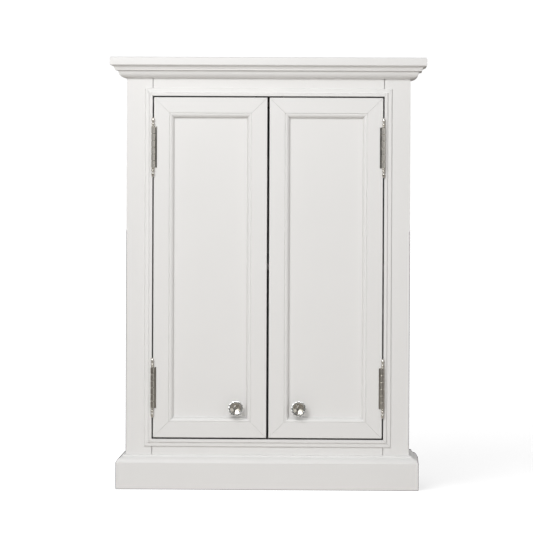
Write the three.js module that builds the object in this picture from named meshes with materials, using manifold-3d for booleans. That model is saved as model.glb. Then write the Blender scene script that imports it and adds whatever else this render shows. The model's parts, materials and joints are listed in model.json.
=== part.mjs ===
// Painted two-door wall cabinet: moulded cornice and plinth, a beaded face frame, inset doors with mitred
// frames and flat panels, finial butt hinges and glass knobs.
// Millimetres. +X is to the right of someone facing the doors, -Y is the front, +Z is up.
// The origin is the centre of the footprint, on the bottom plane.
import * as THREE from "three";
import { mergeVertices } from "three/addons/utils/BufferGeometryUtils.js";
import Module from "manifold-3d";

const wasm = await Module();
wasm.setup();

// ---------------------------------------------------------------- driving dimensions
const overallWidth = 558;
const overallHeight = 762;
const overallDepth = 216;
const topOverhang = 29; // top board past the body, at the front and both sides
const topBoardThickness = 15;
const topEdgeRadius = 2.2;

const boardThickness = 18; // carcass boards
const backThickness = 6;
const railHeight = 60;
const baseRailThickness = 18;

const frameThickness = 19; // face frame
const stileWidth = 45.5;
const openingBottom = 88;
const openingTop = 693.75;

const crownHeight = 22.5;
const plinthHeight = 46.5;
const plinthCapHeight = 14.5;
const plinthProjection = 17;

const beadWidth = 13.6;
const beadProud = 5.5;

const doorThickness = 20;
const doorMemberWidth = 36; // flat of the frame plus its moulded inner edge
const doorFlat = 27.2;
const panelRecess = 9.5;
const panelThickness = 5.6;
const grooveDepth = 8;
const hingeGap = 2.4;
const meetingGap = 4;
const topGap = 2.5;
const bottomGap = 2.75;

const hingeInset = 88; // hinge centre from the door's top or bottom edge
const barrelLength = 72;
const barrelRadius = 3.25;
const barrelBore = 1.7;
const pinRadius = 1.5;
const knuckleCount = 6;
const barrelStandOff = 3.6; // axis in front of the door's face
const leafThickness = 1.2;
const leafDepth = 18.4;
const flangeWidth = 5.4; // strip of the door leaf that lies in the door's face

const knobX = 55.5;
const knobHeight = 52; // knob axis above the door's bottom edge
const knobBoltRadius = 2;

const shelfThickness = 12;
const shelfTop = 398;
const shelfPinRadius = 2.5;
const shelfPinLength = 16;
const shelfHoleDepth = 9;
const shelfHolePitch = 32;
const shelfHoleSteps = [-3, -2, -1, 0, 1, 2, 3];

const seam = 0.1; // half of the hairline left at a mitre
const jointGap = 0.8; // open line where a face-frame rail meets a stile
const clearance = 0.3; // between a piece and the recess it sits in
const arcSteps = 6; // straight runs in each quarter arc
const smallSides = 12;
const knobSides = 18;

// ---------------------------------------------------------------- derived places
const bodyHalf = overallWidth / 2 - topOverhang;
const back = overallDepth / 2;
const front = -overallDepth / 2 + topOverhang; // the face frame's front
const frameBack = front + frameThickness;
const bodyTop = overallHeight - topBoardThickness;
const openingHalf = bodyHalf - stileWidth;
const innerHalf = bodyHalf - boardThickness;
const backFront = back - backThickness;
const carcassFloor = openingBottom - boardThickness;
const doorFront = front - beadProud;
const doorBack = doorFront + doorThickness;
const doorBottom = openingBottom + bottomGap;
const doorTop = openingTop - topGap;
const doorOuter = openingHalf - hingeGap; // door edge on the hinge side
const doorInner = meetingGap / 2;
const hingeX = openingHalf - hingeGap / 2;
const hingeY = doorFront - barrelStandOff;
const hingeHeights = { upper: doorTop - hingeInset, lower: doorBottom + hingeInset };
const knobZ = doorBottom + knobHeight;
const panelFront = doorFront + panelRecess;
const sides = { left: -1, right: 1 };

// ---------------------------------------------------------------- materials
const paint = () => new THREE.MeshStandardMaterial({ color: 0xe6e4e0, roughness: 0.45, metalness: 0 });
const insidePaint = () => new THREE.MeshStandardMaterial({ color: 0xdcd9d3, roughness: 0.55, metalness: 0 });
const nickel = () => new THREE.MeshStandardMaterial({ color: 0xb9b5ad, roughness: 0.22, metalness: 1 });
const glass = () =>
  new THREE.MeshStandardMaterial({ color: 0xe4e8e6, roughness: 0.05, transparent: true, opacity: 0.4 });
const catchPlastic = () => new THREE.MeshStandardMaterial({ color: 0x3b3029, roughness: 0.5, metalness: 0 });
const magnetSteel = () => new THREE.MeshStandardMaterial({ color: 0x6f7072, roughness: 0.4, metalness: 0.8 });

// ---------------------------------------------------------------- shape helpers
function vec(x, y, z) {
  return new THREE.Vector3(x, y, z);
}

// Positions only, shared corners merged and empty triangles dropped.
function tidy(geometry) {
  const bare = geometry.clone();
  bare.deleteAttribute("normal");
  bare.deleteAttribute("uv");
  const merged = mergeVertices(bare);
  const index = [];
  const old = merged.index.array;
  for (let i = 0; i < old.length; i += 3) {
    const [a, b, c] = [old[i], old[i + 1], old[i + 2]];
    if (a !== b && b !== c && c !== a) index.push(a, b, c);
  }
  merged.setIndex(index);
  return merged;
}

function toManifold(geometry) {
  const bare = tidy(geometry);
  const mesh = new wasm.Mesh({
    numProp: 3,
    vertProperties: new Float32Array(bare.attributes.position.array),
    triVerts: new Uint32Array(bare.index.array),
  });
  return new wasm.Manifold(mesh);
}

function fromManifold(solid) {
  const mesh = solid.getMesh();
  const geometry = new THREE.BufferGeometry();
  geometry.setAttribute("position", new THREE.BufferAttribute(mesh.vertProperties, 3));
  geometry.setIndex(new THREE.BufferAttribute(mesh.triVerts, 1));
  geometry.computeVertexNormals();
  return geometry;
}

function join(geometries) {
  return fromManifold(geometries.map(toManifold).reduce((all, next) => all.add(next)));
}

function cut(geometry, tools) {
  const whole = toManifold(geometry);
  return fromManifold(tools.map(toManifold).reduce((rest, tool) => rest.subtract(tool), whole));
}

function overlap(a, b) {
  return fromManifold(toManifold(a).intersect(toManifold(b)));
}

function boxBetween(low, high) {
  const size = vec(high[0] - low[0], high[1] - low[1], high[2] - low[2]);
  const box = new THREE.BoxGeometry(size.x, size.y, size.z);
  return box.translate((low[0] + high[0]) / 2, (low[1] + high[1]) / 2, (low[2] + high[2]) / 2);
}

function rodAlong(axis, radius, low, high, centre, segments = smallSides) {
  const rod = new THREE.CylinderGeometry(radius, radius, high - low, segments);
  rod.translate(0, (low + high) / 2, 0);
  if (axis === "x") rod.rotateZ(-Math.PI / 2);
  if (axis === "z") rod.rotateX(Math.PI / 2);
  return rod.translate(...centre);
}

// A turned shape. The profile is [radius, height] pairs from the bottom up, heights along the direction.
function turned(profile, segments, direction, centre) {
  const points = profile.map(([radius, height]) => new THREE.Vector2(radius, height));
  const lathe = new THREE.LatheGeometry(points, segments);
  lathe.applyQuaternion(new THREE.Quaternion().setFromUnitVectors(vec(0, 1, 0), direction));
  return lathe.translate(...centre);
}

// A moulding run. The outline is a Shape in (u, v); the run starts at origin and goes along u x v.
// Each end is cut square (slope 0) or mitred: the end moves along the run by slope x u.
function moulding(outline, { origin, u, v, length, startSlope = 0, endSlope = 0 }) {
  const bar = new THREE.ExtrudeGeometry(outline, { depth: length, bevelEnabled: false, steps: 1 });
  const place = bar.attributes.position;
  const startSeam = startSlope ? seam : 0;
  const endSeam = endSlope ? seam : 0;
  for (let i = 0; i < place.count; i++) {
    const atStart = place.getZ(i) < length / 2;
    const start = startSlope * place.getX(i) + startSeam;
    const end = length + endSlope * place.getX(i) - endSeam;
    place.setZ(i, atStart ? start : end);
  }
  const w = new THREE.Vector3().crossVectors(u, v);
  const basis = new THREE.Matrix4().makeBasis(u, v, w).setPosition(...origin);
  return bar.applyMatrix4(basis);
}

function shapeFrom(points) {
  const shape = new THREE.Shape();
  points.forEach(([u, v], i) => (i ? shape.lineTo(u, v) : shape.moveTo(u, v)));
  return shape;
}

// Points along an ellipse arc, angles in degrees, both ends included.
function arcPoints(centreU, centreV, radiusU, radiusV, fromAngle, toAngle, steps = arcSteps) {
  const points = [];
  for (let i = 0; i <= steps; i++) {
    const angle = THREE.MathUtils.degToRad(fromAngle + ((toAngle - fromAngle) * i) / steps);
    points.push([centreU + radiusU * Math.cos(angle), centreV + radiusV * Math.sin(angle)]);
  }
  return points;
}

function part(name, geometry, material) {
  const mesh = new THREE.Mesh(tidy(geometry), material());
  mesh.name = name;
  return mesh;
}

// ---------------------------------------------------------------- carcass
function carcass() {
  const group = new THREE.Group();
  const board = (name, low, high) => group.add(part(name, boxBetween(low, high), insidePaint));

  for (const [side, sign] of Object.entries(sides)) {
    const low = [Math.min(sign * innerHalf, sign * bodyHalf), frameBack, 0];
    const high = [Math.max(sign * innerHalf, sign * bodyHalf), back, bodyTop];
    const drilled = cut(boxBetween(low, high), shelfHoles(sign));
    group.add(part(`side_panel_${side}`, drilled, paint));
  }
  const railTop = bodyTop - boardThickness;
  const railLow = [-innerHalf, backFront - boardThickness, railTop - railHeight];
  board("carcass_top", [-innerHalf, frameBack, railTop], [innerHalf, backFront, bodyTop]);
  board("carcass_bottom", [-innerHalf, frameBack, carcassFloor], [innerHalf, backFront, openingBottom]);
  board("back_panel", [-innerHalf, backFront, carcassFloor], [innerHalf, back, bodyTop]);
  board("hanging_rail", railLow, [innerHalf, backFront, railTop]);
  board("rear_base_rail", [-innerHalf, back - baseRailThickness, 0], [innerHalf, back, carcassFloor]);
  return group;
}

const shelfRows = [frameBack + 32, backFront - 32];

function shelfHoles(sign) {
  const radius = shelfPinRadius + clearance;
  const holes = [];
  for (const y of shelfRows) {
    for (const step of shelfHoleSteps) {
      const z = shelfPinHeight() + step * shelfHolePitch;
      const [near, far] = [innerHalf - 1, innerHalf + shelfHoleDepth].map((x) => sign * x);
      holes.push(rodAlong("x", radius, Math.min(near, far), Math.max(near, far), [0, y, z]));
    }
  }
  return holes;
}

function shelfPinHeight() {
  return shelfTop - shelfThickness - clearance - shelfPinRadius;
}

function shelfAndPins() {
  const group = new THREE.Group();
  const half = innerHalf - 1;
  const low = [-half, frameBack + 9, shelfTop - shelfThickness];
  group.add(part("shelf", boxBetween(low, [half, backFront - 1, shelfTop]), insidePaint));
  for (const [side, sign] of Object.entries(sides)) {
    for (const [row, y] of Object.entries({ front: shelfRows[0], rear: shelfRows[1] })) {
      const outer = sign * (innerHalf + shelfHoleDepth - 1);
      const inner = outer - sign * shelfPinLength;
      const ends = [Math.min(inner, outer), Math.max(inner, outer)];
      const pin = rodAlong("x", shelfPinRadius, ...ends, [0, y, shelfPinHeight()]);
      group.add(part(`shelf_pin_${row}_${side}`, pin, nickel));
    }
  }
  return group;
}

// ---------------------------------------------------------------- face frame and bead
function faceFrame() {
  const group = new THREE.Group();
  for (const [side, sign] of Object.entries(sides)) {
    const low = [Math.min(sign * openingHalf, sign * bodyHalf), front, 0];
    const high = [Math.max(sign * openingHalf, sign * bodyHalf), frameBack, bodyTop];
    group.add(part(`face_stile_${side}`, cut(boxBetween(low, high), leafRecesses(sign)), paint));
  }
  const rails = { top: [openingTop, bodyTop], bottom: [0, openingBottom] };
  const half = openingHalf - jointGap;
  for (const [name, [low, high]] of Object.entries(rails)) {
    group.add(part(`face_rail_${name}`, boxBetween([-half, front, low], [half, frameBack, high]), paint));
  }
  return group;
}

// Stepped bead: a square band at the opening, a cove down to a lower band, and a rounded outer edge.
function beadOutline() {
  const band = 5.3;
  const lowBand = 3;
  const coveRadius = beadProud - lowBand;
  const edgeRadius = 2.2;
  return shapeFrom([
    [0, 0],
    [beadWidth, 0],
    ...arcPoints(beadWidth - edgeRadius, lowBand - edgeRadius, edgeRadius, edgeRadius, 0, 90),
    ...arcPoints(band + coveRadius, beadProud, coveRadius, coveRadius, 270, 180),
    [0, beadProud],
  ]);
}

function beading() {
  const group = new THREE.Group();
  const outline = beadOutline();
  const height = openingTop - openingBottom;
  const runs = {
    top: [vec(0, 0, 1), [-openingHalf, front, openingTop], 2 * openingHalf],
    right: [vec(1, 0, 0), [openingHalf, front, openingTop], height],
    bottom: [vec(0, 0, -1), [openingHalf, front, openingBottom], 2 * openingHalf],
    left: [vec(-1, 0, 0), [-openingHalf, front, openingBottom], height],
  };
  for (const [name, [u, origin, length]] of Object.entries(runs)) {
    const run = moulding(outline, { origin, u, v: vec(0, -1, 0), length, startSlope: -1, endSlope: 1 });
    const sign = sides[name];
    group.add(part(`bead_${name}`, sign ? cut(run, leafRecesses(sign)) : run, paint));
  }
  return group;
}

// ---------------------------------------------------------------- cornice and plinth
// u is the projection from the body, v the height above the moulding's lower edge.
function crownOutline() {
  return shapeFrom([
    [0, 0],
    ...arcPoints(0, 12, 14.5, 12, 275, 360),
    ...arcPoints(18.5, 12, 4, 2.4, 180, 90, 2),
    [20.5, 14.4],
    [20.5, 17],
    ...arcPoints(26, 17.4, 4.5, 4.4, 180, 90),
    [26, crownHeight],
    [0, crownHeight],
  ]);
}

function plinthOutline() {
  const capTop = plinthHeight + plinthCapHeight;
  return shapeFrom([
    [0, 0],
    [plinthProjection, 0],
    [plinthProjection, plinthHeight],
    ...arcPoints(6.2, plinthHeight, 9.3, 9, 12, 78),
    [5.6, capTop - 4],
    ...arcPoints(4.6, capTop - 4, 1, 2.8, 0, 90, 2),
    [0, capTop],
  ]);
}

// One front run and two side returns, mitred at the front corners and square at the wall.
function threeSides(name, outline, height, material) {
  const group = new THREE.Group();
  const up = vec(0, 0, 1);
  const depth = back - front;
  const width = 2 * bodyHalf;
  const runs = {
    front: { u: vec(0, -1, 0), origin: [bodyHalf, front, height], length: width, startSlope: -1, endSlope: 1 },
    right: { u: vec(1, 0, 0), origin: [bodyHalf, back, height], length: depth, endSlope: 1 },
    left: { u: vec(-1, 0, 0), origin: [-bodyHalf, front, height], length: depth, startSlope: -1 },
  };
  for (const [run, setting] of Object.entries(runs)) {
    group.add(part(`${name}_${run}`, moulding(outline, { v: up, ...setting }), material));
  }
  return group;
}

function topBoard() {
  const half = overallWidth / 2;
  const depthHalf = overallDepth / 2;
  const r = topEdgeRadius;
  const thick = topBoardThickness;
  const sideways = shapeFrom([
    ...arcPoints(half - r, r, r, r, -90, 0, 3),
    ...arcPoints(half - r, thick - r, r, r, 0, 90, 3),
    ...arcPoints(-half + r, thick - r, r, r, 90, 180, 3),
    ...arcPoints(-half + r, r, r, r, 180, 270, 3),
  ]);
  const endways = shapeFrom([
    [-depthHalf, 0],
    ...arcPoints(depthHalf - r, r, r, r, -90, 0, 3),
    ...arcPoints(depthHalf - r, thick - r, r, r, 0, 90, 3),
    [-depthHalf, thick],
  ]);
  const v = vec(0, 0, 1);
  const across = moulding(sideways, { origin: [0, back, bodyTop], u: vec(1, 0, 0), v, length: overallDepth });
  const along = moulding(endways, { origin: [half, 0, bodyTop], u: vec(0, -1, 0), v, length: overallWidth });
  return part("top_board", overlap(across, along), paint);
}

// ---------------------------------------------------------------- hinges
// Hinge coordinates: dx runs from the axis towards the door, dy from the axis towards the wall.
function hingeBox(sign, [dxLow, dxHigh], [dyLow, dyHigh], [zLow, zHigh]) {
  const xs = [sign * (hingeX - dxLow), sign * (hingeX - dxHigh)];
  return boxBetween([Math.min(...xs), hingeY + dyLow, zLow], [Math.max(...xs), hingeY + dyHigh, zHigh]);
}

const gapHalf = hingeGap / 2;
const leafBack = barrelStandOff + leafDepth;
const knuckleLength = barrelLength / knuckleCount;

// Recesses in the face frame's stile and its bead for the fixed leaves.
function leafRecesses(sign) {
  return Object.values(hingeHeights).map((z) =>
    hingeBox(
      sign,
      [-gapHalf - leafThickness - clearance, 0],
      [0, leafBack + clearance],
      [z - barrelLength / 2 - clearance, z + barrelLength / 2 + clearance],
    ),
  );
}

// Rebates in a door's stile: a mortise in its edge and a shallow step in its face.
function doorRebates(sign) {
  return Object.values(hingeHeights).flatMap((z) => {
    const span = [z - barrelLength / 2 - clearance, z + barrelLength / 2 + clearance];
    const edge = gapHalf + leafThickness + clearance;
    const faceDepth = barrelStandOff + leafThickness + clearance;
    return [
      hingeBox(sign, [0, edge], [0, leafBack + clearance], span),
      hingeBox(sign, [0, gapHalf + flangeWidth + clearance], [0, faceDepth], span),
    ];
  });
}

// Every second knuckle belongs to the fixed leaf, starting with the lowest.
function leafShape(sign, z, onDoor) {
  const plateX = onDoor ? [gapHalf, gapHalf + leafThickness] : [-gapHalf - leafThickness, -gapHalf];
  const low = z - barrelLength / 2;
  const heights = [low, low + barrelLength];
  const pieces = [hingeBox(sign, plateX, [barrelStandOff, leafBack], heights)];
  if (onDoor) {
    const flange = [gapHalf, gapHalf + flangeWidth];
    pieces.push(hingeBox(sign, flange, [barrelStandOff, barrelStandOff + leafThickness], heights));
  }
  for (let i = onDoor ? 1 : 0; i < knuckleCount; i += 2) {
    const ends = [low + i * knuckleLength + clearance / 2, low + (i + 1) * knuckleLength - clearance / 2];
    const axis = [sign * hingeX, hingeY, 0];
    const tube = cut(rodAlong("z", barrelRadius, ...ends, axis), [
      rodAlong("z", barrelBore, ends[0] - 1, ends[1] + 1, axis),
    ]);
    const tab = hingeBox(sign, plateX, [barrelRadius * 0.75, barrelStandOff + 0.5], ends);
    pieces.push(tube, tab);
  }
  return join(pieces);
}

// Finial from the barrel's end to its tip: collar, neck, ball, neck, tapered rounded tip.
const finial = [
  [2.6, 0.3],
  [3.1, 1.3],
  [1.7, 2.6],
  [2.5, 3.4],
  [3, 5],
  [2.5, 6.6],
  [1.6, 8.4],
  [2.3, 9.2],
  [2.7, 10.8],
  [2.3, 13],
  [1.5, 15.5],
  [0.8, 16.7],
];
const finialTip = 17;

function pinShape(sign, z) {
  const half = barrelLength / 2;
  const turning = finial.map(([r, h]) => [r, half + h]);
  const upper = [[pinRadius, turning[0][1]], ...turning, [0, half + finialTip]];
  const lower = upper.map(([r, h]) => [r, -h]).reverse();
  return turned([...lower, ...upper], smallSides, vec(0, 0, 1), [sign * hingeX, hingeY, z]);
}

function fixedHingeParts() {
  const group = new THREE.Group();
  for (const [side, sign] of Object.entries(sides)) {
    for (const [level, z] of Object.entries(hingeHeights)) {
      group.add(part(`hinge_frame_leaf_${level}_${side}`, leafShape(sign, z, false), nickel));
      group.add(part(`hinge_pin_${level}_${side}`, pinShape(sign, z), nickel));
    }
  }
  return group;
}

// ---------------------------------------------------------------- magnetic catch
const catchHalf = 24;
const catchDepth = 15;
const catchLow = 672;
const catchHigh = 716;
const magnetHalf = 7;
const magnetX = 13;
const magnetHeight = 8;
const magnetZ = 682;
const strikeThickness = 1.2;
const magnetGap = 0.6;

function magneticCatch() {
  const group = new THREE.Group();
  const magnetFront = doorBack + strikeThickness + magnetGap;
  const seat = frameBack + 4;
  const magnetBox = (sign, grow, low) =>
    boxBetween(
      [sign * magnetX - magnetHalf - grow, low, magnetZ - magnetHeight / 2 - grow],
      [sign * magnetX + magnetHalf + grow, seat + grow, magnetZ + magnetHeight / 2 + grow],
    );
  const block = boxBetween([-catchHalf, frameBack, catchLow], [catchHalf, frameBack + catchDepth, catchHigh]);
  const pockets = Object.values(sides).map((sign) => magnetBox(sign, clearance, frameBack - 1));
  group.add(part("catch_body", cut(block, pockets), catchPlastic));
  for (const [side, sign] of Object.entries(sides)) {
    group.add(part(`catch_magnet_${side}`, magnetBox(sign, 0, magnetFront), magnetSteel));
  }
  return group;
}

// ---------------------------------------------------------------- doors
// u runs inwards from the door's outer edge, v from the door's back to its face. Past the flat comes
// a narrow groove, then a roll that falls steeply to the panel.
function doorMemberOutline() {
  const t = doorThickness;
  const w = doorMemberWidth;
  const lip = t - panelRecess;
  const grooveEdge = w - grooveDepth;
  const grooveBack = lip - panelThickness - 2 * seam;
  const quirk = 1.8; // depth of the narrow groove
  const crest = doorFlat + 2.2; // highest line of the roll
  const crestDrop = 0.6; // from the flat down to the crest
  const foot = lip + 1.1; // where the roll turns vertical
  return shapeFrom([
    [0, 0],
    [w, 0],
    [w, grooveBack],
    [grooveEdge, grooveBack],
    [grooveEdge, lip],
    [w, lip],
    [w, lip + 0.5],
    ...arcPoints(crest, foot, w - 0.4 - crest, t - crestDrop - foot, 0, 90),
    ...arcPoints(crest, t - quirk, 1.4, quirk - crestDrop, 120, 180, 2),
    [doorFlat + 0.3, t - quirk],
    [doorFlat, t],
    [0, t],
  ]);
}

function knobParts(side, sign) {
  const group = new THREE.Group();
  const outward = vec(0, -1, 0);
  const seat = [sign * knobX, panelFront - seam, knobZ];
  const base = [
    [0, 0],
    [10.2, 0],
    [10.6, 0.8],
    [10, 2],
    [6.6, 3],
    [5.4, 4.6],
    [5.6, 6],
    [8.2, 7.8],
    [9.6, 9.4],
    [9.6, 10.6],
    [9, 10.6],
    [7.8, 9.4],
    [0, 9.4],
  ];
  const crystal = [
    [0, 9.7],
    [7.5, 9.7],
    [8.8, 10.9],
    [10.6, 11.2],
    [12.9, 13.4],
    [13.8, 16.4],
    [13.5, 19.6],
    [12, 22.8],
    [9.2, 25.6],
    [5.2, 27.4],
    [0, 28],
  ];
  const bolt = [
    [0, 0],
    [4.2, 0],
    [4.2, 2.4],
    [knobBoltRadius, 2.6],
    [knobBoltRadius, 15],
    [0, 15],
  ];
  const bore = rodAlong("z", knobBoltRadius + clearance, -1, 8, [0, 0, 0]);
  bore.applyQuaternion(new THREE.Quaternion().setFromUnitVectors(vec(0, 0, 1), outward)).translate(...seat);
  group.add(part(`knob_base_${side}`, cut(turned(base, knobSides, outward, seat), [bore]), nickel));
  group.add(part(`knob_glass_${side}`, turned(crystal, knobSides, outward, seat), glass));
  const boltHead = panelFront + panelThickness + clearance + 2.6;
  const boltSeat = [sign * knobX, boltHead, knobZ];
  group.add(part(`knob_bolt_${side}`, turned(bolt, smallSides, outward, boltSeat), nickel));
  return group;
}

function door(side, sign) {
  const group = new THREE.Group();
  const outline = doorMemberOutline();
  const faceOut = vec(0, -1, 0);
  const inward = vec(-sign, 0, 0);
  const [outer, inner] = [sign * doorOuter, sign * doorInner];
  const height = doorTop - doorBottom;
  const width = doorOuter - doorInner;
  // A run's direction is u x v: an upright whose u points to -X runs upwards, the other runs downwards.
  const upright = (x, u) => ({ u, origin: [x, doorBack, u.x < 0 ? doorBottom : doorTop], length: height });
  const members = {
    hinge_stile: upright(outer, inward),
    lock_stile: upright(inner, inward.clone().negate()),
    top_rail: { u: vec(0, 0, -1), origin: [Math.max(outer, inner), doorBack, doorTop], length: width },
    bottom_rail: { u: vec(0, 0, 1), origin: [Math.min(outer, inner), doorBack, doorBottom], length: width },
  };
  for (const [name, setting] of Object.entries(members)) {
    const run = moulding(outline, { v: faceOut, startSlope: 1, endSlope: -1, ...setting });
    const geometry = name === "hinge_stile" ? cut(run, doorRebates(sign)) : run;
    group.add(part(`${side}_door_${name}`, geometry, paint));
  }

  const tuck = doorMemberWidth - grooveDepth + clearance;
  const xs = [outer - sign * tuck, inner + sign * tuck];
  const panel = boxBetween(
    [Math.min(...xs), panelFront + seam, doorBottom + tuck],
    [Math.max(...xs), panelFront + seam + panelThickness, doorTop - tuck],
  );
  const boltPlace = [sign * knobX, 0, knobZ];
  const boltHole = rodAlong("y", knobBoltRadius + clearance, panelFront - 1, panelFront + 10, boltPlace);
  group.add(part(`${side}_door_panel`, cut(panel, [boltHole]), paint));

  for (const [level, z] of Object.entries(hingeHeights)) {
    group.add(part(`hinge_door_leaf_${level}_${side}`, leafShape(sign, z, true), nickel));
  }
  const strike = boxBetween(
    [sign * magnetX - magnetHalf, doorBack, magnetZ - magnetHalf],
    [sign * magnetX + magnetHalf, doorBack + strikeThickness, magnetZ + magnetHalf],
  );
  group.add(part(`catch_strike_${side}`, strike, nickel));
  group.add(knobParts(side, sign));
  return group;
}

// ---------------------------------------------------------------- assembly
const cabinet = new THREE.Group();
cabinet.add(carcass());
cabinet.add(shelfAndPins());
cabinet.add(faceFrame());
cabinet.add(beading());
cabinet.add(threeSides("crown", crownOutline(), bodyTop - crownHeight, paint));
cabinet.add(threeSides("plinth", plinthOutline(), 0, paint));
cabinet.add(topBoard());
cabinet.add(fixedHingeParts());
cabinet.add(magneticCatch());
for (const [side, sign] of Object.entries(sides)) cabinet.add(door(side, sign));

export default cabinet;
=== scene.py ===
import json
import math

import bmesh
import bpy
from mathutils import Matrix, Vector


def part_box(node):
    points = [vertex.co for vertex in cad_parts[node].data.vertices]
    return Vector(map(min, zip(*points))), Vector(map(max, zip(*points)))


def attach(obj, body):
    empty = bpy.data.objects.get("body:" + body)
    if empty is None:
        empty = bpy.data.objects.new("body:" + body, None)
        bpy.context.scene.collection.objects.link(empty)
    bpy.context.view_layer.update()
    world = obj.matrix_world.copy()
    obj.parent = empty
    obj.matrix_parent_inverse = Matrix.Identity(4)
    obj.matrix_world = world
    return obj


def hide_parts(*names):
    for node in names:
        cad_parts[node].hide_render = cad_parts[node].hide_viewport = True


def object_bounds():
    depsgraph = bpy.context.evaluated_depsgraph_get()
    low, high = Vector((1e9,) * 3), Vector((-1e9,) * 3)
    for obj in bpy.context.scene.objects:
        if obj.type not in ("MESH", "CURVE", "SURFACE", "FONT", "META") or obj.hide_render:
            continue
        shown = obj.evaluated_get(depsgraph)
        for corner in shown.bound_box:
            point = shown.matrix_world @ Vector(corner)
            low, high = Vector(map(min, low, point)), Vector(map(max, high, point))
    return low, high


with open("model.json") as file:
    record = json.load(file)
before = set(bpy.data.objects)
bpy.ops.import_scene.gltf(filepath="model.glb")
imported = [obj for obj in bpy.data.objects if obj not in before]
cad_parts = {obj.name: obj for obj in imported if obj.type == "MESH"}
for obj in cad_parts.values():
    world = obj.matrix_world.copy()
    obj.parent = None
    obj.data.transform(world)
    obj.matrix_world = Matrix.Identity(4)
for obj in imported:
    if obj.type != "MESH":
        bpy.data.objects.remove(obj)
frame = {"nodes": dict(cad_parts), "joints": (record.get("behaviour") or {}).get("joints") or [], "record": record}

MM = 0.001
CAD_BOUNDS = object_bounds()
RECORD = frame["record"]
NODES = frame["nodes"]
BODY_OF = {node: body for body, nodes in RECORD["behaviour"]["bodies"].items() for node in nodes}
SLOT_OF = {entry["node"]: entry["material_slot"] for entry in RECORD["subparts"]}
SIDES = {"left": -1, "right": 1}
LEVELS = ("upper", "lower")
DOOR_MEMBERS = ("hinge_stile", "lock_stile", "top_rail", "bottom_rail")
SCENE = bpy.context.scene

# ------------------------------------------------------------------ node-tree helpers


class Nodes:
    """A short way to write a material's or world's node tree."""

    def __init__(self, tree):
        self.tree = tree
        tree.nodes.clear()

    def add(self, kind, **settings):
        node = self.tree.nodes.new(kind)
        for key, value in settings.items():
            setattr(node, key, value)
        return node

    def link(self, source, target):
        self.tree.links.new(source, target)

    def noise(self, vector, scale, detail=3.0, roughness=0.5, distortion=0.0):
        node = self.add("ShaderNodeTexNoise")
        node.inputs["Scale"].default_value = scale
        node.inputs["Detail"].default_value = detail
        node.inputs["Roughness"].default_value = roughness
        node.inputs["Distortion"].default_value = distortion
        self.link(vector, node.inputs["Vector"])
        return node.outputs["Fac"]

    def stretch(self, vector, scale):
        node = self.add("ShaderNodeMapping")
        node.inputs["Scale"].default_value = scale
        self.link(vector, node.inputs["Vector"])
        return node.outputs["Vector"]

    def ramp(self, value, low, high, out_low, out_high):
        node = self.add("ShaderNodeMapRange")
        ends = {"From Min": low, "From Max": high, "To Min": out_low, "To Max": out_high}
        for name, number in ends.items():
            node.inputs[name].default_value = number
        self.link(value, node.inputs["Value"])
        return node.outputs["Result"]

    def colours(self, value, stops):
        node = self.add("ShaderNodeValToRGB")
        elements = node.color_ramp.elements
        while len(elements) < len(stops):
            elements.new(1.0)
        for element, (place, colour) in zip(elements, stops):
            element.position = place
            element.color = (*colour, 1)
        self.link(value, node.inputs["Fac"])
        return node.outputs["Color"]

    def math(self, operation, a, b):
        node = self.add("ShaderNodeMath", operation=operation)
        for socket, value in zip(node.inputs, (a, b)):
            if isinstance(value, (int, float)):
                socket.default_value = value
            else:
                self.link(value, socket)
        return node.outputs["Value"]

    def towards(self, vector, way):
        """The cosine of the angle between a direction and a fixed one."""
        node = self.add("ShaderNodeVectorMath", operation="DOT_PRODUCT")
        self.link(vector, node.inputs[0])
        node.inputs[1].default_value = Vector(way).normalized()
        return node.outputs["Value"]

    def bump(self, height, distance, strength=1.0, normal=None):
        node = self.add("ShaderNodeBump")
        node.inputs["Strength"].default_value = strength
        node.inputs["Distance"].default_value = distance
        self.link(height, node.inputs["Height"])
        if normal is not None:
            self.link(normal, node.inputs["Normal"])
        return node.outputs["Normal"]


def material(name):
    """An empty skin: the material, its nodes, its shader, and the place on the object in metres."""
    made = bpy.data.materials.new(name)
    made.use_nodes = True
    nodes = Nodes(made.node_tree)
    shader = nodes.add("ShaderNodeBsdfPrincipled")
    output = nodes.add("ShaderNodeOutputMaterial")
    nodes.link(shader.outputs["BSDF"], output.inputs["Surface"])
    place = nodes.add("ShaderNodeTexCoord").outputs["Object"]
    return made, nodes, shader, place


# ------------------------------------------------------------------ materials

# Noise scales are in cells per metre. Colours are linear.
NOISE_MIDDLE = (0.3, 0.7)  # where most of a noise's values lie
GRAIN_ALONG = 5.0
GRAIN_ACROSS = 260.0
GRAIN_DEPTH = 0.02 * MM
PEEL_DEPTH = 0.01 * MM


def mottled(nodes, shader, noise, dull, bright):
    """Sets the base colour to drift between two."""
    low, high = NOISE_MIDDLE
    nodes.link(nodes.colours(noise, [(low, dull), (high, bright)]), shader.inputs["Base Color"])


def uneven_gloss(nodes, shader, noise, low, high):
    """Sets the roughness to drift between two."""
    nodes.link(nodes.ramp(noise, *NOISE_MIDDLE, low, high), shader.inputs["Roughness"])


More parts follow.
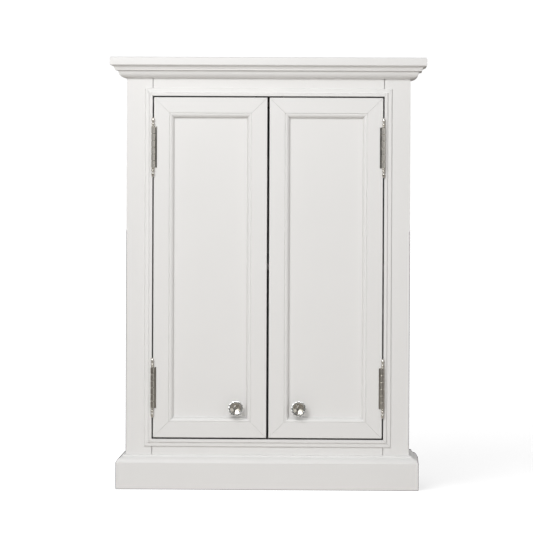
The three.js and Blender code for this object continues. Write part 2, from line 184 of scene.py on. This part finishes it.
def painted_wood(name, axis, pale, shade, roughness):
    """Sprayed and sanded paint on wood: a faint orange peel, fainter grain along one axis, and slow drifts
    of tone and gloss."""
    made, nodes, shader, place = material(name)
    drift = nodes.noise(place, 9.0, detail=4.0, roughness=0.6)
    speck = nodes.noise(place, 420.0, detail=2.0)
    drift_share = nodes.ramp(drift, *NOISE_MIDDLE, 0.0, 0.8)
    speck_share = nodes.ramp(speck, *NOISE_MIDDLE, 0.0, 0.2)
    blend = nodes.math("ADD", drift_share, speck_share)
    nodes.link(nodes.colours(blend, [(0.0, shade), (1.0, pale)]), shader.inputs["Base Color"])
    gloss = nodes.noise(place, 35.0, detail=3.0)
    uneven_gloss(nodes, shader, gloss, roughness - 0.015, roughness + 0.02)
    shader.inputs["Specular IOR Level"].default_value = 0.4
    scale = [GRAIN_ACROSS] * 3
    scale[axis] = GRAIN_ALONG
    grain = nodes.noise(nodes.stretch(place, scale), 1.0, detail=4.0, roughness=0.55, distortion=0.3)
    peel = nodes.noise(place, 700.0, detail=2.0)
    relief = nodes.bump(grain, GRAIN_DEPTH)
    nodes.link(nodes.bump(peel, PEEL_DEPTH, normal=relief), shader.inputs["Normal"])
    return made


def plated_metal(name, dull, bright, roughness):
    """Warm grey plated metal with faint wipe marks and soft handling smudges."""
    made, nodes, shader, place = material(name)
    cloud = nodes.noise(place, 90.0, detail=5.0, roughness=0.65)
    mottled(nodes, shader, cloud, dull, bright)
    shader.inputs["Metallic"].default_value = 1.0
    uneven_gloss(nodes, shader, cloud, roughness, roughness + 0.07)
    wipes = nodes.noise(nodes.stretch(place, (900.0, 900.0, 60.0)), 1.0, detail=3.0)
    nodes.link(nodes.bump(wipes, 0.006 * MM), shader.inputs["Normal"])
    return made


def clear_glass(name):
    """Pressed glass, clear with a hint of green, and a skin that isn't perfectly even."""
    made, nodes, shader, place = material(name)
    tint = nodes.noise(place, 60.0, detail=2.0)
    mottled(nodes, shader, tint, (0.955, 0.975, 0.965), (0.99, 0.995, 0.99))
    shader.inputs["Roughness"].default_value = 0.01
    shader.inputs["IOR"].default_value = 1.5
    shader.inputs["Transmission Weight"].default_value = 1.0
    wave = nodes.noise(place, 130.0, detail=1.0)
    nodes.link(nodes.bump(wave, 0.02 * MM), shader.inputs["Normal"])
    return made


def moulded_plastic(name):
    """Dark brown plastic with a fine moulded texture."""
    made, nodes, shader, place = material(name)
    tone = nodes.noise(place, 60.0, detail=3.0)
    mottled(nodes, shader, tone, (0.04, 0.027, 0.02), (0.05, 0.035, 0.026))
    uneven_gloss(nodes, shader, tone, 0.42, 0.55)
    texture = nodes.noise(place, 1800.0, detail=2.0)
    nodes.link(nodes.bump(texture, 0.03 * MM), shader.inputs["Normal"])
    return made


def zinc_steel(name):
    """Dull zinc-plated steel, patchy and brushed along X."""
    made, nodes, shader, place = material(name)
    patch = nodes.noise(place, 260.0, detail=5.0, roughness=0.7)
    mottled(nodes, shader, patch, (0.26, 0.26, 0.27), (0.42, 0.42, 0.43))
    shader.inputs["Metallic"].default_value = 1.0
    uneven_gloss(nodes, shader, patch, 0.3, 0.5)
    brushed = nodes.noise(nodes.stretch(place, (80.0, 900.0, 2400.0)), 1.0, detail=2.0)
    nodes.link(nodes.bump(brushed, 0.02 * MM), shader.inputs["Normal"])
    return made


def floor_paint(name):
    """Matt warm grey. The floor shows only its shadow, so this sets the light that it throws back up."""
    made, nodes, shader, place = material(name)
    tone = nodes.noise(place, 0.8, detail=2.0)
    mottled(nodes, shader, tone, (0.25, 0.232, 0.212), (0.29, 0.272, 0.252))
    shader.inputs["Roughness"].default_value = 0.9
    shader.inputs["Specular IOR Level"].default_value = 0.1
    return made


OUTER_PALE = (0.838, 0.833, 0.824)
OUTER_SHADE = (0.828, 0.823, 0.814)
INNER_PALE = (0.80, 0.785, 0.755)
INNER_SHADE = (0.765, 0.748, 0.715)
OUTER_ROUGHNESS = 0.3
INNER_ROUGHNESS = 0.55


def paint_set(name, pale, shade, roughness):
    """One paint for each way the grain can run."""
    return [
        painted_wood(f"{name}_{letter}", axis, pale, shade, roughness)
        for axis, letter in enumerate("xyz")
    ]


PAINT = {
    "painted_wood": paint_set("paint_outside", OUTER_PALE, OUTER_SHADE, OUTER_ROUGHNESS),
    "interior_paint": paint_set("paint_inside", INNER_PALE, INNER_SHADE, INNER_ROUGHNESS),
}
NICKEL = plated_metal("polished_nickel", (0.62, 0.595, 0.545), (0.71, 0.69, 0.64), 0.06)
AGED_NICKEL = plated_metal("aged_nickel", (0.38, 0.345, 0.30), (0.46, 0.425, 0.38), 0.05)
GLASS = clear_glass("clear_glass")
PLASTIC = moulded_plastic("catch_plastic")
STEEL = zinc_steel("magnet_steel")

# ------------------------------------------------------------------ mesh helpers


def add_piece(name, mesh, body, skin, replaces=(), smooth_angle=35):
    """Puts a visible piece on its body, and in the place of the CAD nodes it replaces."""
    piece = bpy.data.objects.new(name, mesh)
    SCENE.collection.objects.link(piece)
    mesh.materials.clear()
    mesh.materials.append(skin)
    mesh.shade_smooth()
    mesh.set_sharp_from_angle(angle=math.radians(smooth_angle))
    flatter = piece.modifiers.new("weighted_normals", "WEIGHTED_NORMAL")
    flatter.keep_sharp = True
    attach(piece, body)
    if replaces:
        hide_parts(*replaces)
    return piece


def mesh_from(bm, name):
    bmesh.ops.recalc_face_normals(bm, faces=bm.faces)
    mesh = bpy.data.meshes.new(name)
    bm.to_mesh(mesh)
    bm.free()
    return mesh


WELD_DISTANCE = 0.002 * MM
FLAT_WITHIN = math.radians(0.5)


def clean_copy(node):
    """The CAD solid as a bmesh with its shared corners welded and its flat faces made whole."""
    bm = bmesh.new()
    bm.from_mesh(NODES[node].data)
    bmesh.ops.remove_doubles(bm, verts=bm.verts, dist=WELD_DISTANCE)
    bmesh.ops.dissolve_limit(bm, angle_limit=FLAT_WITHIN, verts=bm.verts, edges=bm.edges)
    return bm


def soften(bm, radius, segments=2, sharper_than=25):
    """Rounds every edge that turns more than sharper_than degrees."""
    limit = math.radians(sharper_than)
    sharp = [edge for edge in bm.edges if len(edge.link_faces) == 2 and edge.calc_face_angle(0) > limit]
    bmesh.ops.bevel(
        bm, geom=sharp, offset=radius, offset_type="OFFSET", segments=segments, profile=0.5, affect="EDGES",
        clamp_overlap=True,
    )


# ------------------------------------------------------------------ painted wood

EDGE_RADIUS = {"board": 0.7 * MM, "frame": 0.45 * MM, "moulding": 0.3 * MM, "door": 0.35 * MM}
DOOR_ARRIS = 1.0 * MM
ON_FRONT = 0.01 * MM  # how near the door's front, and then its outline, an edge has to be
ON_OUTLINE = 0.02 * MM


def door_arris(bm, side):
    """Rounds the front edges that run round the outside of a whole door."""
    low = Vector(map(min, *(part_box(f"{side}_door_{member}")[0] for member in DOOR_MEMBERS)))
    high = Vector(map(max, *(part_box(f"{side}_door_{member}")[1] for member in DOOR_MEMBERS)))

    def on_outline(edge):
        a, b = (vert.co for vert in edge.verts)
        if max(a.y, b.y) > low.y + ON_FRONT:
            return False
        return any(abs(a[i] - c[i]) + abs(b[i] - c[i]) < ON_OUTLINE for i in (0, 2) for c in (low, high))

    edges = [edge for edge in bm.edges if on_outline(edge)]
    bmesh.ops.bevel(bm, geom=edges, offset=DOOR_ARRIS, segments=5, profile=0.5, affect="EDGES")


def edge_kind(node):
    if node.startswith(("bead", "crown", "plinth")):
        return "moulding"
    if "_door_" in node:
        return "door"
    return "frame" if node.startswith("face_") else "board"


def wooden_pieces():
    """Every painted CAD solid again, with its edges rounded and its grain along its longest side."""
    for node, slot in SLOT_OF.items():
        if slot not in PAINT:
            continue
        low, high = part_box(node)
        size = high - low
        axis = max(range(3), key=lambda i: size[i])
        bm = clean_copy(node)
        if edge_kind(node) == "door" and not node.endswith("panel"):
            door_arris(bm, node.split("_")[0])
        soften(bm, EDGE_RADIUS[edge_kind(node)])
        mesh = mesh_from(bm, f"{node}_painted")
        add_piece(f"{node}_painted", mesh, BODY_OF[node], PAINT[slot][axis], replaces=[node])


wooden_pieces()

# ------------------------------------------------------------------ turned and joined shapes


def arc(centre, radii, start, end, steps):
    """Points (radius, height) of an elliptical arc; the angles are in degrees from the radius axis."""
    turns = [math.radians(start + (end - start) * i / steps) for i in range(steps + 1)]
    return [(centre[0] + radii[0] * math.cos(t), centre[1] + radii[1] * math.sin(t)) for t in turns]


def turned(profile, place, sides=48, fluting=None):
    """Turns a profile of (radius, height) in mm about a local Z axis. A profile that starts off the axis
    closes on itself. fluting(angle, height) scales the radius."""
    bm = bmesh.new()
    rings = []
    for radius, height in profile:
        ring = []
        for i in range(sides if radius > 1e-6 else 1):
            angle = 2 * math.pi * i / sides
            reach = radius * (fluting(angle, height) if fluting else 1.0)
            corner = Vector((reach * math.cos(angle), reach * math.sin(angle), height)) * MM
            ring.append(bm.verts.new(corner))
        rings.append(ring)
    pairs = list(zip(rings, rings[1:]))
    if len(rings[0]) > 1:
        pairs.append((rings[-1], rings[0]))
    for low, high in pairs:
        for i in range(sides):
            j = i + 1
            corners = [low[i % len(low)], low[j % len(low)], high[j % len(high)], high[i % len(high)]]
            bm.faces.new(list(dict.fromkeys(corners)))
    bm.transform(place)
    return mesh_from(bm, "turned")


def pointing(direction, at):
    """A place whose local Z axis runs along direction."""
    turn = Vector(direction).to_track_quat("Z", "Y").to_matrix().to_4x4()
    return Matrix.Translation(Vector(at)) @ turn


def box_mesh(corner, opposite):
    """A box between two opposite corners, as a bmesh."""
    bm = bmesh.new()
    bmesh.ops.create_cube(bm, size=1.0)
    low = Vector(map(min, corner, opposite))
    size = Vector(map(max, corner, opposite)) - low
    for vert in bm.verts:
        vert.co = Vector(low[i] + (vert.co[i] + 0.5) * size[i] for i in range(3))
    return bm


def rounded_box(corner, opposite, radius, segments=2):
    bm = box_mesh(corner, opposite)
    bmesh.ops.bevel(bm, geom=bm.edges, offset=radius, segments=segments, profile=0.5, affect="EDGES")
    return mesh_from(bm, "rounded_box")


def combined(base, tools, operation):
    """The exact union or difference of a mesh with others, as a new mesh."""
    work = bpy.data.objects.new("work", base)
    helpers = [bpy.data.objects.new("work_tool", tool) for tool in tools]
    for obj in (work, *helpers):
        SCENE.collection.objects.link(obj)
    for helper in helpers:
        step = work.modifiers.new("step", "BOOLEAN")
        step.operation = operation
        step.solver = "EXACT"
        step.object = helper
    made = bpy.data.meshes.new_from_object(work.evaluated_get(bpy.context.evaluated_depsgraph_get()))
    for obj in (work, *helpers):
        bpy.data.objects.remove(obj)
    return made


def grouped(meshes):
    """One mesh that holds several separate solids."""
    bm = bmesh.new()
    for mesh in meshes:
        bm.from_mesh(mesh)
    return mesh_from(bm, "grouped")


def screw(out_of_head, at, head_radius, seat_radius, head_depth, shank_radius, length, dome, proud):
    """A cross-recess screw in mm, its head's underside head_depth below the surface point at."""
    top = arc((0, proud - dome), (head_radius, dome), 90, 4, 6)
    shank = [(shank_radius, -head_depth - 0.02), (shank_radius, 2 - length), (0, -length)]
    place = pointing(out_of_head, at)
    profile = [*top, (head_radius, proud - dome - 0.1), (seat_radius, -head_depth), *shank]
    body = turned(profile, place, sides=32)
    long, wide = 0.6 * head_radius, 0.16 * head_radius
    floor = proud - 0.5 * (dome + head_depth) - 0.25
    slots = []
    for x, y in ((long, wide), (wide, long)):
        slot = rounded_box(Vector((-x, -y, floor)) * MM, Vector((x, y, proud + 1)) * MM, 0.1 * MM, 1)
        slot.transform(place)
        slots.append(slot)
    return combined(body, slots, "DIFFERENCE")


# ------------------------------------------------------------------ hinges

LEAF_GAP = 1.2  # from the pin's axis to each leaf, mm
LEAF_THICKNESS = 1.2
BARREL_BORE = 1.7  # radius
KNUCKLES = 6
KNUCKLE_GAP = 0.5
KNUCKLE_CHAMFER = 0.6
HINGE_SCREW_ROWS = (-24, 0, 24)
SINK_RADIUS = 3.3  # of a countersink at the leaf's face
SINK_FLOOR = 1.9  # radius of its hole
HINGE_SCREW = dict(
    head_radius=3.0, seat_radius=1.65, head_depth=1.2, shank_radius=1.6, length=15, dome=0.35, proud=0.12
)


class Hinge:
    """One hinge's sizes in mm, from its CAD leaves and its joint. dx runs from the pin's axis towards the
    door, dy towards the wall, and dz up from the middle of the barrel."""

    def __init__(self, level, side):
        joint = next(joint for joint in frame["joints"] if joint["child"] == f"{side}_door")
        self.sign = SIDES[side]
        self.axis = Vector(joint["pos_m"]) / MM
        low, high = (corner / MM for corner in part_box(f"hinge_door_leaf_{level}_{side}"))
        self.radius = self.axis.y - low.y
        self.back = high.y - self.axis.y
        self.flange = max(self.sign * (self.axis.x - x) for x in (low.x, high.x))
        self.half = (high.z - low.z) / 2
        self.axis.z = (high.z + low.z) / 2
        self.stand_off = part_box(f"{side}_door_hinge_stile")[0][1] / MM - self.axis.y

    def point(self, dx, dy, dz):
        return (self.axis + Vector((-self.sign * dx, dy, dz))) * MM

    def leaf(self, on_door):
        """A leaf with its knuckles; the door's also has a flange set flush with the stile's front."""
        near, far = LEAF_GAP, LEAF_GAP + LEAF_THICKNESS
        way = 1 if on_door else -1
        plate = rounded_box(
            self.point(way * (near + 0.05), self.stand_off + 0.1, -self.half),
            self.point(way * far, self.back, self.half), 0.2 * MM,
        )
        additions = []
        if on_door:
            additions.append(rounded_box(
                self.point(near, self.stand_off, -self.half),
                self.point(self.flange, self.stand_off + LEAF_THICKNESS, self.half), 0.25 * MM,
            ))
        length = 2 * self.half / KNUCKLES
        for i in range(1 if on_door else 0, KNUCKLES, 2):
            low = i * length - self.half + KNUCKLE_GAP / 2
            high = low + length - KNUCKLE_GAP
            rim = self.radius - KNUCKLE_CHAMFER
            ring = [
                (BARREL_BORE, low), (rim, low), (self.radius, low + KNUCKLE_CHAMFER),
                (self.radius, high - KNUCKLE_CHAMFER), (rim, high), (BARREL_BORE, high),
            ]
            additions.append(turned(ring, pointing((0, 0, 1), self.point(0, 0, 0)), sides=32))
            additions.append(rounded_box(
                self.point(way * (near + 0.1), 0.72 * self.radius, low + 0.15),
                self.point(way * (far - 0.05), self.stand_off + 0.6, high - 0.15), 0.1 * MM, 1,
            ))
        return combined(combined(plate, additions, "UNION"), self.sinks(way), "DIFFERENCE")

    def screw_places(self, way):
        """The way the leaf's face towards the other leaf looks, with each screw's point on that face."""
        out = (self.sign * way, 0, 0)
        depth = (self.stand_off + self.back) / 2 + 1
        return [(out, self.point(way * LEAF_GAP, depth, z)) for z in HINGE_SCREW_ROWS]

    def sinks(self, way):
        mouth = [(0, 0.4), (SINK_RADIUS + 0.4, 0.4), (SINK_RADIUS, 0)]
        cone = [*mouth, (SINK_FLOOR, -1.3), (SINK_FLOOR, -2), (0, -2)]
        return [turned(cone, pointing(*place), sides=32) for place in self.screw_places(way)]

    def screws(self, way):
        return grouped([screw(*place, **HINGE_SCREW) for place in self.screw_places(way)])

    def pin(self):
        """A rod through the barrel with a turned finial at both ends: collar, ball, long rounded tip."""
        finial = [
            (1.5, 0.25), (2.2, 0.25), *arc((2.2, 0.95), (0.95, 0.7), -80, 80, 8), (1.65, 2.1),
            *arc((0, 4.9), (3.0, 2.7), -57, 57, 12), (1.6, 7.8), (1.6, 8.5),
            *arc((0, 11), (2.75, 2.6), -48, 0, 6), *arc((0, 11), (2.75, 6), 10, 90, 12),
        ]
        upper = [(radius, self.half + height) for radius, height in finial]
        lower = [(radius, -height) for radius, height in reversed(upper)]
        return turned([*lower, *upper], pointing((0, 0, 1), self.point(0, 0, 0)), sides=40)


def hinges():
    for side in SIDES:
        for level in LEVELS:
            hinge = Hinge(level, side)
            where = f"{level}_{side}"
            for kind, way, body in (("frame", -1, "cabinet"), ("door", 1, f"{side}_door")):
                leaf = f"hinge_{kind}_leaf_{where}"
                add_piece(f"{leaf}_plated", hinge.leaf(way > 0), body, NICKEL, [leaf], 30)
                add_piece(f"hinge_{kind}_screws_{where}", hinge.screws(way), body, NICKEL)
            pin = f"hinge_pin_{where}"
            add_piece(f"{pin}_plated", hinge.pin(), "cabinet", NICKEL, [pin], 50)


hinges()

# ------------------------------------------------------------------ knobs

# Heights are from the door's panel, in mm.
KNOB_FLUTES = 14
FLUTE_DEPTH = 0.05  # share of the radius
FLUTE_END = 24  # height at which the flutes have died out
FLUTE_FADE = 7  # over this height
GIRDLE = 16.4  # height of the widest part
GIRDLE_RADIUS = 13.8
KNOB_TIP = 28
DISH_RADIUS = 14.0  # the cup's hollow face, part of a sphere
DISH_FLOOR = 7.4
GLASS_FIT = 0.25
BOLT_HEAD = 2.5


def knob_flutes(angle, height):
    """Shallow flutes round the widest part of the glass, dying out towards the front."""
    reach = max(0.0, min(1.0, (FLUTE_END - height) / FLUTE_FADE))
    return 1 - FLUTE_DEPTH * reach * (1 - math.cos(KNOB_FLUTES * angle)) / 2


def cup_profile():
    """The bolt's socket, a thin foot ring, a waisted stem and a rolled rim round the hollow face."""
    return [
        (0, 7), (2.3, 7), (2.3, 0), (9.9, 0), *arc((9.9, 0.75), (0.7, 0.75), -80, 80, 8),
        *arc((10.2, 5), (4.8, 3.3), 265, 100, 20), *arc((8.9, 9.75), (0.8, 0.85), -30, 90, 8),
        *arc((0, DISH_FLOOR + DISH_RADIUS), (DISH_RADIUS, DISH_RADIUS), -55, -90, 12),
    ]


def glass_profile():
    """A back that fits the cup's hollow, a bulge up to the girdle, and a domed front."""
    back = DISH_RADIUS - GLASS_FIT
    return [
        *arc((0, DISH_FLOOR + DISH_RADIUS), (back, back), -90, -57, 12), (8.0, 10.6), (8.6, 11.1),
        *arc((4, GIRDLE), (GIRDLE_RADIUS - 4, 5.2), -60, -6, 9),
        *arc((0, GIRDLE), (GIRDLE_RADIUS, KNOB_TIP - GIRDLE), 0, 90, 24),
    ]


def knob_bolt(side):
    """A pan-head machine screw from inside the door."""
    low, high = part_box(f"knob_bolt_{side}")
    under_head = ((low.x + high.x) / 2, high.y - BOLT_HEAD * MM, (low.z + high.z) / 2)
    return screw(
        (0, 1, 0), under_head, head_radius=4.2, seat_radius=4.1, head_depth=0, shank_radius=2,
        length=(high.y - low.y) / MM - BOLT_HEAD, dome=1.1, proud=BOLT_HEAD,
    )


def knobs():
    for side in SIDES:
        body = f"{side}_door"
        low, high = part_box(f"knob_base_{side}")
        middle = (low + high) / 2
        place = pointing((0, -1, 0), (middle.x, high.y, middle.z))
        cup = turned(cup_profile(), place, 64)
        add_piece(f"knob_cup_{side}", cup, body, AGED_NICKEL, [f"knob_base_{side}"], 50)
        crystal = turned(glass_profile(), place, 144, knob_flutes)
        add_piece(f"knob_crystal_{side}", crystal, body, GLASS, [f"knob_glass_{side}"], 50)
        bolt = f"knob_bolt_{side}"
        add_piece(f"{bolt}_plated", knob_bolt(side), body, NICKEL, [bolt], 40)


knobs()

# ------------------------------------------------------------------ catch, strikes and shelf pins

CATCH_SCREW_INSET = 8
CATCH_SCREW = dict(
    head_radius=3.4, seat_radius=3.3, head_depth=0, shank_radius=1.7, length=14, dome=1.3, proud=1.7
)
POLE = 2.0  # thickness of the steel plates above and below a magnet
POLE_LINE = 0.25  # half the width of the line between plate and magnet
STRIKE_SCREW = dict(
    HINGE_SCREW, head_radius=2.6, seat_radius=1.45, head_depth=1.05, shank_radius=1.4, length=12
)
STRIKE_SINK = [(0, 1), (2.9, 1), (2.9, 0), (1.7, -1.1), (1.7, -2), (0, -2)]


def corner_points(node):
    """The CAD node's low corner, high corner and middle, in mm."""
    low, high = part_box(node)
    return low / MM, high / MM, (low + high) / 2 / MM


def catch():
    body = clean_copy("catch_body")
    soften(body, 0.9 * MM, segments=3)
    add_piece(
        "catch_body_moulded", mesh_from(body, "catch_body_moulded"), "cabinet", PLASTIC,
        ["catch_body"],
    )
    low, high, _ = corner_points("catch_body")
    level = high.z - CATCH_SCREW_INSET
    columns = (low.x + CATCH_SCREW_INSET, high.x - CATCH_SCREW_INSET)
    places = [Vector((x, high.y, level)) * MM for x in columns]
    screws = grouped([screw((0, 1, 0), place, **CATCH_SCREW) for place in places])
    add_piece("catch_screws", screws, "cabinet", NICKEL)


def magnet(node):
    """A block with two grooves across its face, where its pole plates end."""
    low, high, _ = corner_points(node)
    block = rounded_box(low * MM, high * MM, 0.35 * MM)
    lines = []
    for z in (low.z + POLE, high.z - POLE):
        start = Vector((low.x - 1, low.y - 1, z - POLE_LINE)) * MM
        end = Vector((high.x + 1, low.y + 0.5, z + POLE_LINE)) * MM
        lines.append(rounded_box(start, end, 0.05 * MM, 1))
    return combined(block, lines, "DIFFERENCE")


def magnets_and_strikes():
    for side in SIDES:
        node = f"catch_magnet_{side}"
        add_piece(f"{node}_poles", magnet(node), "cabinet", STEEL, [node], 30)

        node = f"catch_strike_{side}"
        low, high, middle = corner_points(node)
        plate = box_mesh(low * MM, high * MM)
        corners = [edge for edge in plate.edges if abs(edge.verts[0].co.y - edge.verts[1].co.y) > 0.5 * MM]
        bmesh.ops.bevel(plate, geom=corners, offset=2 * MM, segments=6, profile=0.5, affect="EDGES")
        soften(plate, 0.15 * MM, sharper_than=60)
        face = Vector((middle.x, high.y, middle.z)) * MM
        sink = turned(STRIKE_SINK, pointing((0, 1, 0), face), 32)
        plate = combined(mesh_from(plate, node), [sink], "DIFFERENCE")
        add_piece(f"{node}_plated", plate, f"{side}_door", NICKEL, [node], 30)
        fixing = screw((0, 1, 0), face, **STRIKE_SCREW)
        add_piece(f"strike_screw_{side}", fixing, f"{side}_door", NICKEL)


def shelf_pins():
    """Pegs with a slightly thinner half in the side panel and a rounded end under the shelf."""
    for side, sign in SIDES.items():
        for row in ("front", "rear"):
            node = f"shelf_pin_{row}_{side}"
            low, high, middle = corner_points(node)
            radius = (high.z - low.z) / 2
            shank = radius - 0.3
            length = high.x - low.x
            nose = 1.6
            profile = [
                (0, 0), (radius - 0.9, 0), (shank, 0.8), (shank, length / 2), (radius, length / 2 + 0.3),
                (radius, length - nose), *arc((0, length - nose), (radius, nose), 10, 90, 8),
            ]
            outer = high.x if sign > 0 else low.x
            pin = turned(profile, pointing((-sign, 0, 0), Vector((outer, middle.y, middle.z)) * MM), 32)
            add_piece(f"{node}_plated", pin, "cabinet", NICKEL, [node], 40)


catch()
magnets_and_strikes()
shelf_pins()

# ------------------------------------------------------------------ studio

FLOOR_SIZE = 60
ROOM_GLOW = (0.31, 0.33)  # at the horizon and overhead
# edge and core are cosines of the angle from way. The dark level multiplies the glow, the lit one is added.
DARK_PART = dict(way=(0.3, -0.9, -0.3), edge=0.75, core=0.93, level=0.15)  # low in front, to the right
LIT_PART = dict(way=(-0.3, -0.88, 0.36), edge=0.9, core=0.97, level=1.7)  # high in front, to the left
BACKDROP_WHITE = 1.04
LAMPS_AIM_HEIGHT = 0.45
# name, place, diameter, power in watts, what it lights, what shades it
LAMPS = (
    ("key_softbox", (-0.36, -1.5, 1.22), 1.0, 12.6, "all", "all"),
    ("fill_softbox", (2.4, -3.2, 1.0), 2.0, 11.0, "all", "all"),
    ("floor_softbox", (0, 0, 3.0), 4.0, 110.0, "floor_only", "floor_only"),
    ("left_back_softbox", (-2.2, 2.6, 1.5), 2.0, 32.0, "all_but_floor", "all"),
    ("right_back_softbox", (2.2, 2.6, 1.5), 2.0, 32.0, "all_but_floor", "all"),
)


def studio_floor():
    """A plain floor under the plinth that shows only the shadow it catches."""
    bpy.ops.mesh.primitive_plane_add(size=FLOOR_SIZE, location=(0, 0, CAD_BOUNDS[0][2]))
    floor = bpy.context.object
    floor.name = "studio_floor"
    floor.data.materials.append(floor_paint("studio_floor"))
    floor.is_shadow_catcher = True
    return floor


def studio_room():
    """A nearly even glow with a dark and a bright part. The camera sees plain white in its place."""
    world = bpy.data.worlds.new("studio")
    SCENE.world = world
    world.use_nodes = True
    nodes = Nodes(world.node_tree)
    direction = nodes.add("ShaderNodeTexCoord").outputs["Generated"]
    parts = nodes.add("ShaderNodeSeparateXYZ")
    nodes.link(direction, parts.inputs["Vector"])

    def patch(part, elsewhere):
        nearness = nodes.towards(direction, part["way"])
        return nodes.ramp(nearness, part["edge"], part["core"], elsewhere, part["level"])

    glow = nodes.ramp(parts.outputs["Z"], 0.0, 1.0, *ROOM_GLOW)
    dark = patch(DARK_PART, 1.0)
    bright = patch(LIT_PART, 0.0)
    glow = nodes.math("ADD", nodes.math("MULTIPLY", glow, dark), bright)
    seen = nodes.add("ShaderNodeBackground")
    seen.inputs["Strength"].default_value = BACKDROP_WHITE
    seen.inputs["Color"].default_value = (1, 1, 1, 1)
    lit = nodes.add("ShaderNodeBackground")
    nodes.link(glow, lit.inputs["Color"])
    path = nodes.add("ShaderNodeLightPath")
    mix = nodes.add("ShaderNodeMixShader")
    nodes.link(path.outputs["Is Camera Ray"], mix.inputs["Fac"])
    nodes.link(lit.outputs["Background"], mix.inputs[1])
    nodes.link(seen.outputs["Background"], mix.inputs[2])
    output = nodes.add("ShaderNodeOutputWorld")
    nodes.link(mix.outputs["Shader"], output.inputs["Surface"])


def light_groups(floor):
    """The sets of objects that a lamp can be kept to; None stands for everything."""
    groups = {"all": None}
    for name, state in (("floor_only", "INCLUDE"), ("all_but_floor", "EXCLUDE")):
        group = bpy.data.collections.new(name)
        group.objects.link(floor)
        group.collection_objects[0].light_linking.link_state = state
        groups[name] = group
    return groups


def studio_lamps(groups):
    """A key high on the left, a fill on the right, two behind, and one that lights only the floor."""
    for name, place, diameter, power, lights, shaded_by in LAMPS:
        lamp = bpy.data.lights.new(name, "AREA")
        lamp.shape = "DISK"
        lamp.size = diameter
        lamp.energy = power
        holder = bpy.data.objects.new(name, lamp)
        holder.location = place
        aim = Vector((0, 0, LAMPS_AIM_HEIGHT)) - Vector(place)
        holder.rotation_euler = aim.to_track_quat("-Z", "Y").to_euler()
        SCENE.collection.objects.link(holder)
        holder.light_linking.receiver_collection = groups[lights]
        holder.light_linking.blocker_collection = groups[shaded_by]


AIM_ACROSS = -0.0026
AIM_HEIGHT = 0.3934
EYE_FROM_AIM = Vector((0.208, -8.0, 0.185))
PICTURE_WIDTH = 0.9407  # metres across the picture at the face frame
CAMERA_ROLL = math.radians(0.236)
SENSOR_WIDTH = 36.0


def photo_camera():
    """A long lens 8 m in front of the face frame, a little right of centre, tipped slightly down."""
    aim = Vector((AIM_ACROSS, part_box("face_stile_left")[0][1], AIM_HEIGHT))
    eye = aim + EYE_FROM_AIM
    lens = bpy.data.cameras.new("camera")
    lens.sensor_width = SENSOR_WIDTH
    lens.lens = SENSOR_WIDTH * (eye - aim).length / PICTURE_WIDTH
    lens.clip_end = 100
    camera = bpy.data.objects.new("camera", lens)
    camera.location = eye
    level = (aim - eye).to_track_quat("-Z", "Y").to_matrix()
    camera.rotation_euler = (level @ Matrix.Rotation(CAMERA_ROLL, 3, "Z")).to_euler()
    SCENE.collection.objects.link(camera)
    SCENE.camera = camera


FLOOR = studio_floor()
studio_room()
studio_lamps(light_groups(FLOOR))
SCENE.view_settings.view_transform = "Standard"
photo_camera()
